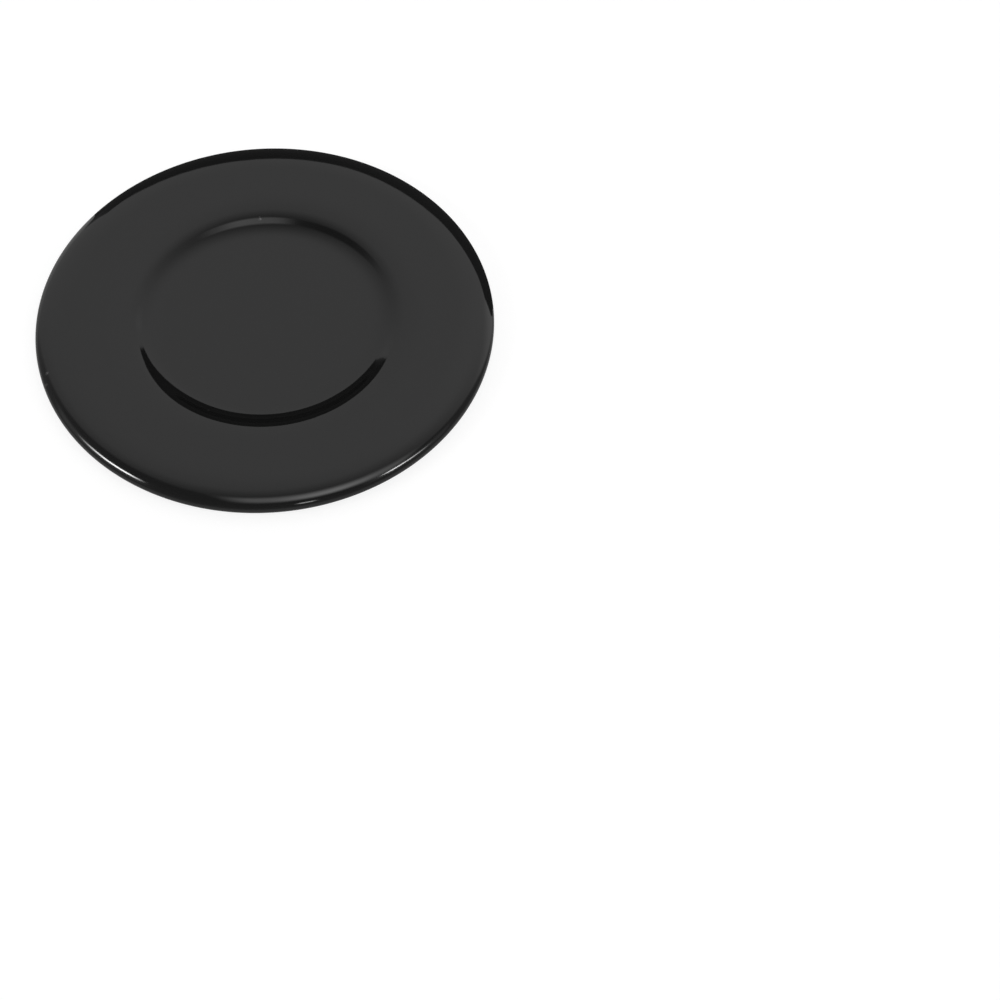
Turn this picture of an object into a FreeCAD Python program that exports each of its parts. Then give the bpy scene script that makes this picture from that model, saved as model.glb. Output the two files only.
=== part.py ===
import FreeCAD, Part
import math
import os
from FreeCAD import Vector

# Gas burner cap: a round of sheet steel, pressed to shape and enamelled all over.
# Millimetres and degrees. The axis of the cap is Z, the top faces +Z,
# and the round boss under the middle rests on the plane z = 0.

# driving dimensions
capDiameter = 70.0        # across the rounded outer edge
sheetThickness = 1.85     # steel and enamel together, the same all over
recessFloorRadius = 16.1  # flat floor of the recess
wallSlope = 34.0          # slope of the wall around the recess
wallStraight = 0.65       # straight part of the wall, along the slope
footRadius = 5.35         # bend from the recess floor into the wall, on the top skin
browRadius = 4.9          # bend from the wall onto the raised ring, on the top skin
shoulderRadius = 6.1      # bend from the raised ring down to the edge, on the top skin
edgeSlope = 42.0          # slope of the sheet where its rounded edge begins
edgeArcs = 2              # equal arcs in the upper half of the rounded edge
edgeFlats = 3             # equal flats in its lower half, where the sheet was cut

wall = math.radians(wallSlope)
edge = math.radians(edgeSlope)
quarter = math.pi / 2.0

# derived sizes, outwards from the axis
edgeRadius = sheetThickness / 2.0
edgeCentreX = capDiameter / 2.0 - edgeRadius
footEndX = recessFloorRadius + footRadius * math.sin(wall)
browStartX = footEndX + wallStraight * math.cos(wall)
ringInner = browStartX + browRadius * math.sin(wall)
shoulderEndX = edgeCentreX + edgeRadius * math.sin(edge)
ringOuter = shoulderEndX - shoulderRadius * math.sin(edge)

# derived heights of the top skin
floorTop = sheetThickness
wallRise = (footRadius + browRadius) * (1.0 - math.cos(wall)) + wallStraight * math.sin(wall)
ringTop = floorTop + wallRise
shoulderEndZ = ringTop - shoulderRadius * (1.0 - math.cos(edge))
edgeCentreZ = shoulderEndZ - edgeRadius * math.cos(edge)

footCentre = Vector(recessFloorRadius, 0.0, floorTop + footRadius)
browCentre = Vector(ringInner, 0.0, ringTop - browRadius)
shoulderCentre = Vector(ringOuter, 0.0, ringTop - shoulderRadius)
edgeCentre = Vector(edgeCentreX, 0.0, edgeCentreZ)


def onCircle(centre, radius, angle):
    # angle is measured from straight up, towards the outside
    return centre + Vector(radius * math.sin(angle), 0.0, radius * math.cos(angle))


def arcEdge(centre, radius, fromAngle, toAngle):
    start = onCircle(centre, radius, fromAngle)
    middle = onCircle(centre, radius, (fromAngle + toAngle) / 2.0)
    end = onCircle(centre, radius, toAngle)
    return Part.Arc(start, middle, end).toShape()


def skinEdges(depth):
    # one skin of the sheet, from the axis outwards, at this depth under the top skin
    footBend = footRadius + depth
    browBend = browRadius - depth
    shoulderBend = shoulderRadius - depth
    axisPoint = Vector(0.0, 0.0, floorTop - depth)
    floorEnd = onCircle(footCentre, footBend, math.pi)
    footEnd = onCircle(footCentre, footBend, math.pi - wall)
    browStart = onCircle(browCentre, browBend, -wall)
    ringStart = onCircle(browCentre, browBend, 0.0)
    ringEnd = onCircle(shoulderCentre, shoulderBend, 0.0)
    return [
        Part.makeLine(axisPoint, floorEnd),
        arcEdge(footCentre, footBend, math.pi, math.pi - wall),
        Part.makeLine(footEnd, browStart),
        arcEdge(browCentre, browBend, -wall, 0.0),
        Part.makeLine(ringStart, ringEnd),
        arcEdge(shoulderCentre, shoulderBend, 0.0, edge),
    ]


def edgeUpperHalf():
    # the rounded edge that shows, from the top skin round to its outside
    step = quarter / edgeArcs
    starts = [edge + index * step for index in range(edgeArcs)]
    return [arcEdge(edgeCentre, edgeRadius, start, start + step) for start in starts]


def edgeLowerHalf():
    # the rest of the round, down to the under skin, in narrow flats
    step = quarter / edgeFlats
    starts = [edge + quarter + index * step for index in range(edgeFlats)]
    corners = [onCircle(edgeCentre, edgeRadius, start) for start in starts]
    corners.append(onCircle(edgeCentre, edgeRadius, edge + math.pi))
    return [Part.makeLine(corners[index], corners[index + 1]) for index in range(edgeFlats)]


def sheetSection():
    axisLine = Part.makeLine(Vector(0.0, 0.0, 0.0), Vector(0.0, 0.0, floorTop))
    edges = skinEdges(0.0) + edgeUpperHalf() + edgeLowerHalf()
    edges += skinEdges(sheetThickness) + [axisLine]
    return Part.Face(Part.Wire(Part.__sortEdges__(edges)))


def pressedCap():
    turned = sheetSection().revolve(Vector(0.0, 0.0, 0.0), Vector(0.0, 0.0, 1.0), 360.0)
    solid = Part.Solid(turned.Shells[0])
    if solid.Volume < 0:
        solid.reverse()
    return solid


cap = pressedCap()
os.makedirs("parts", exist_ok=True)
cap.exportStep("parts/burner_cap.step")

box = cap.optimalBoundingBox(True, False)
print("valid", cap.isValid(), "volume", round(cap.Volume, 1))
print("size", round(box.XLength, 3), round(box.YLength, 3), round(box.ZLength, 3))
print("lowest", round(abs(box.ZMin), 4), "recess depth", round(wallRise, 3))
print("raised ring", round(ringInner, 3), "to", round(ringOuter, 3), "at", round(ringTop, 3))
print("edge centre height", round(edgeCentreZ, 3))
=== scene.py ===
import math

import bmesh
import bpy
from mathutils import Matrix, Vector


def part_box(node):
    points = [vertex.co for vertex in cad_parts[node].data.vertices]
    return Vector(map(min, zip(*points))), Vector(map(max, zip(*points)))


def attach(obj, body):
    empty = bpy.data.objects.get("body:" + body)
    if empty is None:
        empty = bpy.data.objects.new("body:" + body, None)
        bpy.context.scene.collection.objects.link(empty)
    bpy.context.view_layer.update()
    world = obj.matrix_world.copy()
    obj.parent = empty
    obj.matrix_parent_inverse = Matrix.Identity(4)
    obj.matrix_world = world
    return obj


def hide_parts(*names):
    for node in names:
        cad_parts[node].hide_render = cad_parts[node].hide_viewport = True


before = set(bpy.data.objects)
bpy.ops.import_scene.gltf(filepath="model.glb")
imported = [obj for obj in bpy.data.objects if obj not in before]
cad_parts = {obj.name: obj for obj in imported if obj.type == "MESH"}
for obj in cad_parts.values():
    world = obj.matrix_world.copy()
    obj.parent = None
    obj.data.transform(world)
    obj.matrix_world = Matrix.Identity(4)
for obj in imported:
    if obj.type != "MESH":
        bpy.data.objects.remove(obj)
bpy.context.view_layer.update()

mm = 0.001
white = (1, 1, 1, 1)

capLow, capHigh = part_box("burner_cap")
capRadius = (capHigh.x - capLow.x) / 2 / mm
capHeight = (capHigh.z - capLow.z) / mm


def linear(hexColour):
    # sRGB hex to the linear values that Blender's sockets take
    parts = [int(hexColour[i:i + 2], 16) / 255 for i in (1, 3, 5)]
    return [p / 12.92 if p <= 0.04045 else ((p + 0.055) / 1.055) ** 2.4 for p in parts] + [1.0]


def addNode(tree, kind, inputs=None, **settings):
    node = tree.nodes.new("ShaderNode" + kind)
    for key, value in settings.items():
        setattr(node, key, value)
    for key, value in (inputs or {}).items():
        if isinstance(value, bpy.types.NodeSocket):
            tree.links.new(value, node.inputs[key])
        else:
            node.inputs[key].default_value = value
    return node


def newObject(name, bm):
    mesh = bpy.data.meshes.new(name)
    bm.to_mesh(mesh)
    bm.free()
    made = bpy.data.objects.new(name, mesh)
    bpy.context.scene.collection.objects.link(made)
    return made


def emptyMaterial(name):
    material = bpy.data.materials.new(name)
    material.use_nodes = True
    material.node_tree.nodes.clear()
    return material, material.node_tree


# The cap: one round of sheet steel, pressed in a single stroke and enamelled black all over.
# Sizes in millimetres, slopes in degrees below level.
cap = {
    "sheet": 1.85,            # steel and both coats of enamel
    "crownWidth": 4.12,       # level top of the raised ring
    "shoulderWide": 15.3,     # the ring rolls over slowly at first
    "shoulderBreak": 12.7,
    "shoulderTight": 4.8,     # then turns down to the edge
    "edgeSlope": 44.7,
    "browWide": 18.7,         # the same on the way into the recess
    "browBreak": 11.8,
    "browTight": 4.35,
    "wallSlope": 31.8,
    "footTight": 5.15,        # and the other way round onto its floor
    "footBreak": 5.8,
    "footWide": 12.6,
    "recessShift": (0.2, -0.03),   # the recess is struck a hair off centre, to the right
    "turns": 384,             # facets round the axis
    "edgeSteps": 36,          # facets round the rolled outer edge
    "finest": 1.8,            # degrees of bend between two rings
    "widest": 1.6,            # most that two rings stand apart
    "closest": 0.01,          # nearer than this, two radii count as one
}


def bend(path, radius, toSlope):
    # adds an arc to a path of (r, z, slope); a negative radius hollows the skin
    r, z, slope = path[-1]
    steps = max(2, math.ceil(abs(toSlope - slope) / cap["finest"]))
    for i in range(1, steps + 1):
        at = slope + (toSlope - slope) * i / steps
        across = math.sin(math.radians(at)) - math.sin(math.radians(slope))
        drop = math.cos(math.radians(slope)) - math.cos(math.radians(at))
        path.append((r + radius * across, z - radius * drop, at))


def run(path, length):
    # adds a straight, inwards for a negative length
    r, z, slope = path[-1]
    lean = math.radians(slope)
    steps = max(1, math.ceil(abs(length) / cap["widest"]))
    for i in range(1, steps + 1):
        along = length * i / steps
        path.append((r + along * math.cos(lean), z - along * math.sin(lean), slope))


def fall(radius, fromSlope, toSlope):
    # how far an arc comes down between two slopes
    return radius * (math.cos(math.radians(fromSlope)) - math.cos(math.radians(toSlope)))


def topSkin():
    # the upper skin from the axis to the edge, and the radius where the recess begins
    outward = [(0.0, capHeight, 0.0)]
    bend(outward, cap["shoulderWide"], cap["shoulderBreak"])
    bend(outward, cap["shoulderTight"], cap["edgeSlope"])
    edgeReach = cap["sheet"] / 2 * (1 - math.sin(math.radians(cap["edgeSlope"])))
    crownEnd = capRadius - edgeReach - outward[-1][0]
    outward = [(r + crownEnd, z, slope) for r, z, slope in outward]

    # the boss below stands on the table, so the straight wall takes what the bends leave
    drops = fall(cap["browWide"], 0, cap["browBreak"])
    drops += fall(cap["browTight"], cap["browBreak"], cap["wallSlope"])
    drops += fall(cap["footWide"], 0, cap["footBreak"])
    drops += fall(cap["footTight"], cap["footBreak"], cap["wallSlope"])
    wall = (capHeight - cap["sheet"] - drops) / math.sin(math.radians(cap["wallSlope"]))

    inward = [outward[0]]
    run(inward, -cap["crownWidth"])
    recessStart = inward[-1][0]
    bend(inward, cap["browWide"], -cap["browBreak"])
    bend(inward, cap["browTight"], -cap["wallSlope"])
    run(inward, -wall)
    bend(inward, -cap["footTight"], -cap["footBreak"])
    bend(inward, -cap["footWide"], 0.0)
    run(inward, -inward[-1][0])
    return inward[::-1] + outward[1:], recessStart


def capSection():
    # closed section: upper skin out, round the edge, and the parallel lower skin back
    top, recessStart = topSkin()
    half = cap["sheet"] / 2
    r, z, slope = top[-1]
    centre = (r - half * math.sin(math.radians(slope)), z - half * math.cos(math.radians(slope)))
    edge = []
    for i in range(1, cap["edgeSteps"]):
        at = math.radians(slope + 180 * i / cap["edgeSteps"])
        edge.append((centre[0] + half * math.sin(at), centre[1] + half * math.cos(at)))
    under = []
    for r, z, slope in top[::-1]:
        lean = math.radians(slope)
        under.append((r - cap["sheet"] * math.sin(lean), z - cap["sheet"] * math.cos(lean)))
    # every second ring is enough below
    section = [(r, z) for r, z, slope in top] + edge + under[:-1:2] + [under[-1]]
    return section, recessStart


def makeCap():
    section, recessStart = capSection()
    bm = bmesh.new()
    turns = cap["turns"]
    rings = []
    for r, z in section:
        inRecess = r < recessStart + cap["closest"]
        shiftX, shiftY = cap["recessShift"] if inRecess else (0.0, 0.0)
        ring = []
        for i in range(turns if r > cap["closest"] else 1):
            a = 2 * math.pi * i / turns
            at = Vector((r * math.cos(a) + shiftX, r * math.sin(a) + shiftY, z))
            ring.append(bm.verts.new(at * mm))
        rings.append(ring)
    for one, two in zip(rings, rings[1:]):
        for i in range(turns):
            j = (i + 1) % turns
            if len(one) == 1:
                bm.faces.new((one[0], two[i], two[j]))
            elif len(two) == 1:
                bm.faces.new((one[i], two[0], one[j]))
            else:
                bm.faces.new((one[i], two[i], two[j], one[j]))
    bmesh.ops.recalc_face_normals(bm, faces=bm.faces)
    piece = newObject("enamelled_cap", bm)
    piece.data.shade_smooth()
    return piece


# Black vitreous enamel: glass sprayed as a slip on the pressed steel and fired. It gives a deep
# black with a wet-looking gloss, mirror-like but for a faint orange peel and a few nibs of dust.
enamel = {
    "black": "#121212",
    "deepBlack": "#0f0f0f",
    "mottleWave": 1.2,         # millimetres from patch to patch of the two blacks
    "mottleDetail": 3.0,
    "paintedRimGlare": "#191919",    # painted glare: the enamel is a lighter grey where the sheet turns down at the edge, for a brighter gloss there
    "paintedRimGlareFrom": 29.5,          # millimetres from the axis
    "paintedRimGlareTo": 33.0,
    "ior": 1.5,
    "specular": 0.5,
    "roughness": 0.07,
    "roughnessUnder": 0.3,     # the lower side gets the thinner, duller coat
    "underFrom": -0.3,         # height of the normal where that coat begins
    "underTo": -0.6,
    "peelWave": 2.6,           # millimetres from crest to crest
    "peelDetail": 1.0,
    "peelHeight": 0.006,
    "nibs": [(0.87, 19.7, 0.65), (-33.35, -6.4, 1.0),      # x, y and how strongly each shows
             (-33.6, -8.2, 0.5), (-9.8, -16.1, 0.15)],
    "nibSize": 0.34,           # radius of a speck of dust under the glass
    "nibHeight": 0.045,
    "nibGrey": "#535353",
    # painted reflection: the grey the enamel shows in its own gloss
    "paintedOwnReflection": "#2b2b2b",
}


def blackEnamel():
    material, tree = emptyMaterial("blackVitreousEnamel")
    place = addNode(tree, "TexCoord")
    plan = addNode(tree, "VectorMath", {0: place.outputs["Object"], 1: (1, 1, 0)}, operation="MULTIPLY")

    mottle = addNode(tree, "TexNoise", {"Vector": place.outputs["Object"],
                                        "Scale": 1 / (enamel["mottleWave"] * mm),
                                        "Detail": enamel["mottleDetail"]})
    colour = addNode(tree, "Mix", {0: mottle.outputs["Fac"], 6: linear(enamel["deepBlack"]),
                                   7: linear(enamel["black"])}, data_type="RGBA")
    # painted glare: the enamel turns a lighter grey towards the rolled edge
    reach = addNode(tree, "VectorMath", {0: plan.outputs[0]}, operation="LENGTH")
    edge = addNode(tree, "MapRange", {"Value": reach.outputs["Value"],
                                      "From Min": enamel["paintedRimGlareFrom"] * mm,
                                      "From Max": enamel["paintedRimGlareTo"] * mm})
    colour = addNode(tree, "Mix", {0: edge.outputs[0], 6: colour.outputs[2],
                                   7: linear(enamel["paintedRimGlare"])}, data_type="RGBA")

    # pale domes, left by dust that was fired in with the glass
    nibs = 0.0
    for x, y, strength in enamel["nibs"]:
        spot = addNode(tree, "VectorMath", {0: plan.outputs[0], 1: (x * mm, y * mm, 0)},
                       operation="DISTANCE")
        dome = addNode(tree, "MapRange", {"Value": spot.outputs["Value"],
                                          "From Min": enamel["nibSize"] * mm, "From Max": 0.0,
                                          "To Max": strength}, interpolation_type="SMOOTHSTEP")
        nibs = addNode(tree, "Math", {0: nibs, 1: dome.outputs[0]}, operation="ADD").outputs[0]
    colour = addNode(tree, "Mix", {0: nibs, 6: colour.outputs[2], 7: linear(enamel["nibGrey"])},
                     data_type="RGBA")

    peel = addNode(tree, "TexNoise", {"Vector": place.outputs["Object"],
                                      "Scale": 1 / (enamel["peelWave"] * mm),
                                      "Detail": enamel["peelDetail"]})
    height = addNode(tree, "Math", {0: peel.outputs["Fac"], 1: enamel["peelHeight"]},
                     operation="MULTIPLY")
    height = addNode(tree, "Math", {0: nibs, 1: enamel["nibHeight"], 2: height.outputs[0]},
                     operation="MULTIPLY_ADD")
    bump = addNode(tree, "Bump", {"Height": height.outputs[0], "Strength": 1.0, "Distance": mm})
    facing = addNode(tree, "SeparateXYZ", {0: place.outputs["Normal"]})
    rough = addNode(tree, "MapRange", {"Value": facing.outputs["Z"],
                                       "From Min": enamel["underFrom"], "From Max": enamel["underTo"],
                                       "To Min": enamel["roughness"],
                                       "To Max": enamel["roughnessUnder"]})

    # painted reflection: in its own gloss the enamel shows a plain dark grey in place of mirroring itself
    # again, so the shaded side of the recess is an even black
    inGloss = addNode(tree, "LightPath").outputs["Is Glossy Ray"]
    specular = addNode(tree, "MapRange", {"Value": inGloss, "To Min": enamel["specular"],
                                          "To Max": 0.0})
    colour = addNode(tree, "Mix", {0: inGloss, 6: colour.outputs[2],
                                   7: linear(enamel["paintedOwnReflection"])}, data_type="RGBA")
    shader = addNode(tree, "BsdfPrincipled", {"Base Color": colour.outputs[2], "IOR": enamel["ior"],
                                              "Specular IOR Level": specular.outputs[0],
                                              "Roughness": rough.outputs[0],
                                              "Normal": bump.outputs[0]})
    addNode(tree, "OutputMaterial", {"Surface": shader.outputs[0]})
    return material


piece = makeCap()
piece.data.materials.append(blackEnamel())
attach(piece, "root")
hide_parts("burner_cap")
print("cap: pressed section revolved,", len(piece.data.polygons), "faces")


# A plain white table that keeps the cap's shadow.
table = {
    "radius": 4.0,           # metres
    "sides": 96,
    "clear": 0.02,           # millimetres under the boss, so that the two never share a plane
    "colour": "#868686",     # its matt part, which takes the shadow
    "glow": 0.85,            # brings it up to white for the camera
    "glowInGloss": 0.34,     # it stays dimmer in a gloss, so the rim keeps its black outline
}


def makeTable():
    bm = bmesh.new()
    bmesh.ops.create_circle(bm, cap_ends=True, segments=table["sides"], radius=table["radius"])
    top = newObject("table", bm)
    top.location.z = capLow.z - table["clear"] * mm

    material, tree = emptyMaterial("whiteTable")
    ray = addNode(tree, "LightPath")
    direct = addNode(tree, "Math", {0: ray.outputs["Is Camera Ray"], 1: table["glow"]},
                     operation="MULTIPLY")
    mirror = addNode(tree, "Math", {0: ray.outputs["Is Glossy Ray"],
                                    1: ray.outputs["Is Transmission Ray"]}, operation="MAXIMUM")
    mirrored = addNode(tree, "Math", {0: mirror.outputs[0], 1: table["glowInGloss"]},
                       operation="MULTIPLY")
    strength = addNode(tree, "Math", {0: direct.outputs[0], 1: mirrored.outputs[0]},
                       operation="MAXIMUM")
    glow = addNode(tree, "Emission", {"Color": white, "Strength": strength.outputs[0]})
    matt = addNode(tree, "BsdfDiffuse", {"Color": linear(table["colour"])})
    both = addNode(tree, "AddShader", {0: glow.outputs[0], 1: matt.outputs[0]})
    # clear from below, so that a camera under the table sees the cap's lower side
    below = addNode(tree, "NewGeometry").outputs["Backfacing"]
    clear = addNode(tree, "BsdfTransparent")
    sided = addNode(tree, "MixShader", {0: below, 1: both.outputs[0], 2: clear.outputs[0]})
    addNode(tree, "OutputMaterial", {"Surface": sided.outputs[0]})
    top.data.materials.append(material)


makeTable()
print("table: white, keeps the cap's shadow")


# A black card folded round the back of the cap, as in a product studio. It draws the crisp black
# lines in the gloss, and only reflections see it. Corners are x, y and height in millimetres.
card = {
    "corners": [(-157, 323, 14), (-73.5, 193, 85), (0, 250, 143),      # left flap and back
                (46, 217, 118), (30, 68, 31), (43, 52, 28.8),          # folded in on the right
                (58, 31, 18.5), (56, 18, 13.4), (53, 8, 4.4)],
    "foot": 30.0,               # its foot lies on the table up to this radius, under the rim
    "footTurn": (228, 84),      # from the left back to the right, clockwise from the camera's side
    "clear": 0.05,
    "grey": 0.041,
    "leftGrey": 0.2,            # light falls on its left end
}


def makeCard():
    bm = bmesh.new()
    last = len(card["corners"]) - 1
    first, end = card["footTurn"]
    rows = []
    for i, (x, y, high) in enumerate(card["corners"]):
        a = math.radians(first + (end - first) * i / last)
        near = (card["foot"] * math.sin(a), -card["foot"] * math.cos(a), card["clear"])
        column = ((x, y, high), (x, y, card["clear"]), near)
        rows.append([bm.verts.new(Vector(p) * mm) for p in column])
    for one, two in zip(rows, rows[1:]):
        for j in (0, 1):
            bm.faces.new((one[j], one[j + 1], two[j + 1], two[j]))
    made = newObject("black_card", bm)
    made.location.z = capLow.z

    material, tree = emptyMaterial("mattBlackCard")
    leftEnd, flapFold = card["corners"][:2]
    place = addNode(tree, "SeparateXYZ", {0: addNode(tree, "TexCoord").outputs["Object"]})
    grey = addNode(tree, "MapRange", {"Value": place.outputs["X"], "From Min": flapFold[0] * mm,
                                      "From Max": leftEnd[0] * mm, "To Min": card["grey"],
                                      "To Max": card["leftGrey"]})
    dull = addNode(tree, "Emission", {"Color": white, "Strength": grey.outputs[0]})
    addNode(tree, "OutputMaterial", {"Surface": dull.outputs[0]})
    made.data.materials.append(material)
    made.visible_camera = False
    made.visible_diffuse = False
    made.visible_transmission = False
    made.visible_shadow = False


makeCard()
print("card: stands behind the cap")


# Plain soft studio light, painted on the surroundings: a broad soft light overhead and behind, and
# on the camera's side a soft ceiling panel and three small strips. Azimuth is in degrees from
# straight back (+Y) towards the right, elevation is above the table, and a softness is the half
# width in degrees over which an edge fades.
studio = {
    "wallsLow": 0.30,                           # the walls are lighter near the table
    "wallsHigh": 0.12,
    "wallsTop": 0.75,                           # sine of the elevation where they are darkest
    "broad": 0.188,
    "broadTilt": (0.1, -0.005, 0.615),          # the broad light is stronger overhead
    "broadSides": {
        "left": ((0.9, 1.0, 0.658), 4.1),       # the way in from a side, and its softness
        "front": ((0.168, 1.0, 0.015), 43.6),
        "right": ((-0.499, 1.0, 0.849), 3.3),
    },
    "panelLeft": -0.297,                        # panel on a ceiling at 1 m, in metres
    "panelRight": 0.921,
    "panelFront": -0.730,
    "panelBack": -0.379,
    "panelSoft": 6.0,
    "panelGlow": 1.4,
    "panelHeart": (0.306, -0.844),              # it is brighter round this point
    "panelHeartGlow": 2.29,
    "panelHeartWidth": 22.7,
}
sideLight = {                                   # a faint light low on the right
    "from": 49, "to": 80,
    "low": -3, "high": 23,
    "soft": 3.0, "topSoft": 12.0,
    "glow": 0.28,
}
strips = {
    "left": {"azimuth": -103.3, "elevation": 31.4, "roll": -25.7, "wide": 17.4, "tall": 3.7,
             "startSoft": 4.1, "endSoft": 10.1, "sideSoft": 1.2, "glow": 29.4},
    "right": {"azimuth": 125.5, "elevation": 36.4, "roll": 24.4, "wide": 11.7, "tall": 2.1,
              "startSoft": 9.4, "endSoft": 2.9, "sideSoft": 1.2, "glow": 27.2},
    "front": {"azimuth": 170.4, "elevation": 38.1, "roll": 0.0, "wide": 5.5, "tall": 3.0,
              "startSoft": 1.2, "endSoft": 1.2, "sideSoft": 1.2, "glow": 7.6},
}
spills = {                                      # what the two long strips throw on the screens round them
    "left": {"azimuth": -95.0, "elevation": 25.0, "roll": -22.0, "wide": 42.0, "tall": 13.0,
             "startSoft": 4.0, "endSoft": 4.0, "sideSoft": 4.0, "glow": 0.3},
    "right": {"azimuth": 120.0, "elevation": 33.0, "roll": 24.0, "wide": 36.0, "tall": 11.0,
              "startSoft": 4.0, "endSoft": 4.0, "sideSoft": 4.0, "glow": 0.25},
}


def heading(azimuth, elevation):
    a = math.radians(azimuth)
    e = math.radians(elevation)
    return Vector((math.cos(e) * math.sin(a), math.cos(e) * math.cos(a), math.sin(e)))


def fade(tree, direction, inward, soft):
    # 1 on the inner side of a plane through the middle of the studio, 0 behind it
    along = addNode(tree, "VectorMath", {0: direction, 1: Vector(inward).normalized()},
                    operation="DOT_PRODUCT")
    reach = math.sin(math.radians(soft))
    edge = addNode(tree, "MapRange", {"Value": along.outputs["Value"], "From Min": -reach,
                                      "From Max": reach}, interpolation_type="SMOOTHSTEP")
    return edge.outputs[0]


def patch(tree, direction, corners, softs, glow):
    # a bright patch with straight sides, from corner to corner
    middle = sum(corners, Vector())
    light = glow
    for one, two, soft in zip(corners, corners[1:] + corners[:1], softs):
        inward = one.cross(two)
        if inward.dot(middle) < 0:
            inward.negate()
        side = fade(tree, direction, inward, soft)
        light = addNode(tree, "Math", {0: light, 1: side}, operation="MULTIPLY").outputs[0]
    return light


def stripPatch(tree, direction, strip):
    middle = heading(strip["azimuth"], strip["elevation"])
    level = heading(strip["azimuth"] + 90, 0)
    up = level.cross(middle)
    if up.z < 0:
        up.negate()
    roll = math.radians(strip["roll"])
    halfWide = math.tan(math.radians(strip["wide"] / 2))
    halfTall = math.tan(math.radians(strip["tall"] / 2))
    along = (level * math.cos(roll) + up * math.sin(roll)) * halfWide
    over = (up * math.cos(roll) - level * math.sin(roll)) * halfTall
    corners = [middle - along - over, middle + along - over,
               middle + along + over, middle - along + over]
    softs = (strip["sideSoft"], strip["endSoft"], strip["sideSoft"], strip["startSoft"])
    return patch(tree, direction, corners, softs, strip["glow"])


def broadLight(tree, direction):
    tilt = addNode(tree, "VectorMath", {0: direction, 1: studio["broadTilt"]},
                   operation="DOT_PRODUCT")
    light = addNode(tree, "Math", {0: tilt.outputs["Value"], 1: studio["broad"]}, operation="ADD")
    light = addNode(tree, "Math", {0: light.outputs[0], 1: 0.0}, operation="MAXIMUM")
    for inward, soft in studio["broadSides"].values():
        light = addNode(tree, "Math", {0: light.outputs[0], 1: fade(tree, direction, inward, soft)},
                        operation="MULTIPLY")
    return light.outputs[0]


def ceilingPanel(tree, direction):
    left, right = studio["panelLeft"], studio["panelRight"]
    front, back = studio["panelFront"], studio["panelBack"]
    plan = ((left, front), (left, back), (right, back), (right, front))
    corners = [Vector((x, y, 1)) for x, y in plan]
    softs = [studio["panelSoft"]] * len(corners)
    heart = Vector((*studio["panelHeart"], 1)).normalized()
    near = addNode(tree, "VectorMath", {0: direction, 1: heart}, operation="DOT_PRODUCT")
    angle = addNode(tree, "Math", {0: near.outputs["Value"]}, operation="ARCCOSINE")
    glow = addNode(tree, "MapRange", {"Value": angle.outputs[0],
                                      "From Min": math.radians(studio["panelHeartWidth"]),
                                      "From Max": 0.0, "To Min": studio["panelGlow"],
                                      "To Max": studio["panelGlow"] + studio["panelHeartGlow"]},
                   interpolation_type="SMOOTHSTEP")
    return patch(tree, direction, corners, softs, glow.outputs[0])


def lowSideLight(tree, direction):
    # it shows only inside the broad light's right side
    plan = (("from", "low"), ("from", "high"), ("to", "high"), ("to", "low"))
    corners = [heading(sideLight[azimuth], sideLight[elevation]) for azimuth, elevation in plan]
    softs = (sideLight["soft"], sideLight["topSoft"], sideLight["soft"], sideLight["soft"])
    light = patch(tree, direction, corners, softs, sideLight["glow"])
    inward, soft = studio["broadSides"]["right"]
    light = addNode(tree, "Math", {0: light, 1: fade(tree, direction, inward, soft)},
                    operation="MULTIPLY")
    return light.outputs[0]


def studioWorld():
    world = bpy.data.worlds.new("studio")
    bpy.context.scene.world = world
    world.use_nodes = True
    tree = world.node_tree
    tree.nodes.clear()
    direction = addNode(tree, "TexCoord").outputs["Generated"]
    height = addNode(tree, "SeparateXYZ", {0: direction}).outputs["Z"]
    walls = addNode(tree, "MapRange", {"Value": height, "From Min": 0.0,
                                       "From Max": studio["wallsTop"],
                                       "To Min": studio["wallsLow"], "To Max": studio["wallsHigh"]})
    lights = [broadLight(tree, direction), ceilingPanel(tree, direction), lowSideLight(tree, direction)]
    lights += [stripPatch(tree, direction, strip) for strip in (*strips.values(), *spills.values())]
    total = walls.outputs[0]
    for light in lights:
        total = addNode(tree, "Math", {0: total, 1: light}, operation="ADD").outputs[0]
    # the camera sees plain white past the table's end
    toCamera = addNode(tree, "LightPath").outputs["Is Camera Ray"]
    seen = addNode(tree, "Mix", {0: toCamera, 2: total, 3: 1.0})
    back = addNode(tree, "Background", {"Color": white, "Strength": seen.outputs[0]})
    addNode(tree, "OutputWorld", {"Surface": back.outputs[0]})


studioWorld()
print("studio: broad light, ceiling panel, side light and", len(strips), "strips")


# The photograph's view: a long lens from in front, well above the cap, the cap left of the middle.
camera = {
    "lens": 106.51,
    "sensor": 36.0,
    "away": 281.07,      # millimetres in front of the cap's axis
    "above": 358.71,     # and above the table
    "tilt": 34.5581,
    "heading": -7.3336,
    "nearest": 0.01,     # metres, what it can see
    "furthest": 20.0,
}


def makeCamera():
    data = bpy.data.cameras.new("camera")
    data.lens = camera["lens"]
    data.sensor_width = camera["sensor"]
    data.clip_start = camera["nearest"]
    data.clip_end = camera["furthest"]
    view = bpy.data.objects.new("camera", data)
    bpy.context.scene.collection.objects.link(view)
    view.location = (0, -camera["away"] * mm, camera["above"] * mm)
    view.rotation_euler = (math.radians(camera["tilt"]), 0, math.radians(camera["heading"]))
    bpy.context.scene.camera = view


makeCamera()
bpy.context.scene.view_settings.view_transform = "Standard"
print("camera: in place")
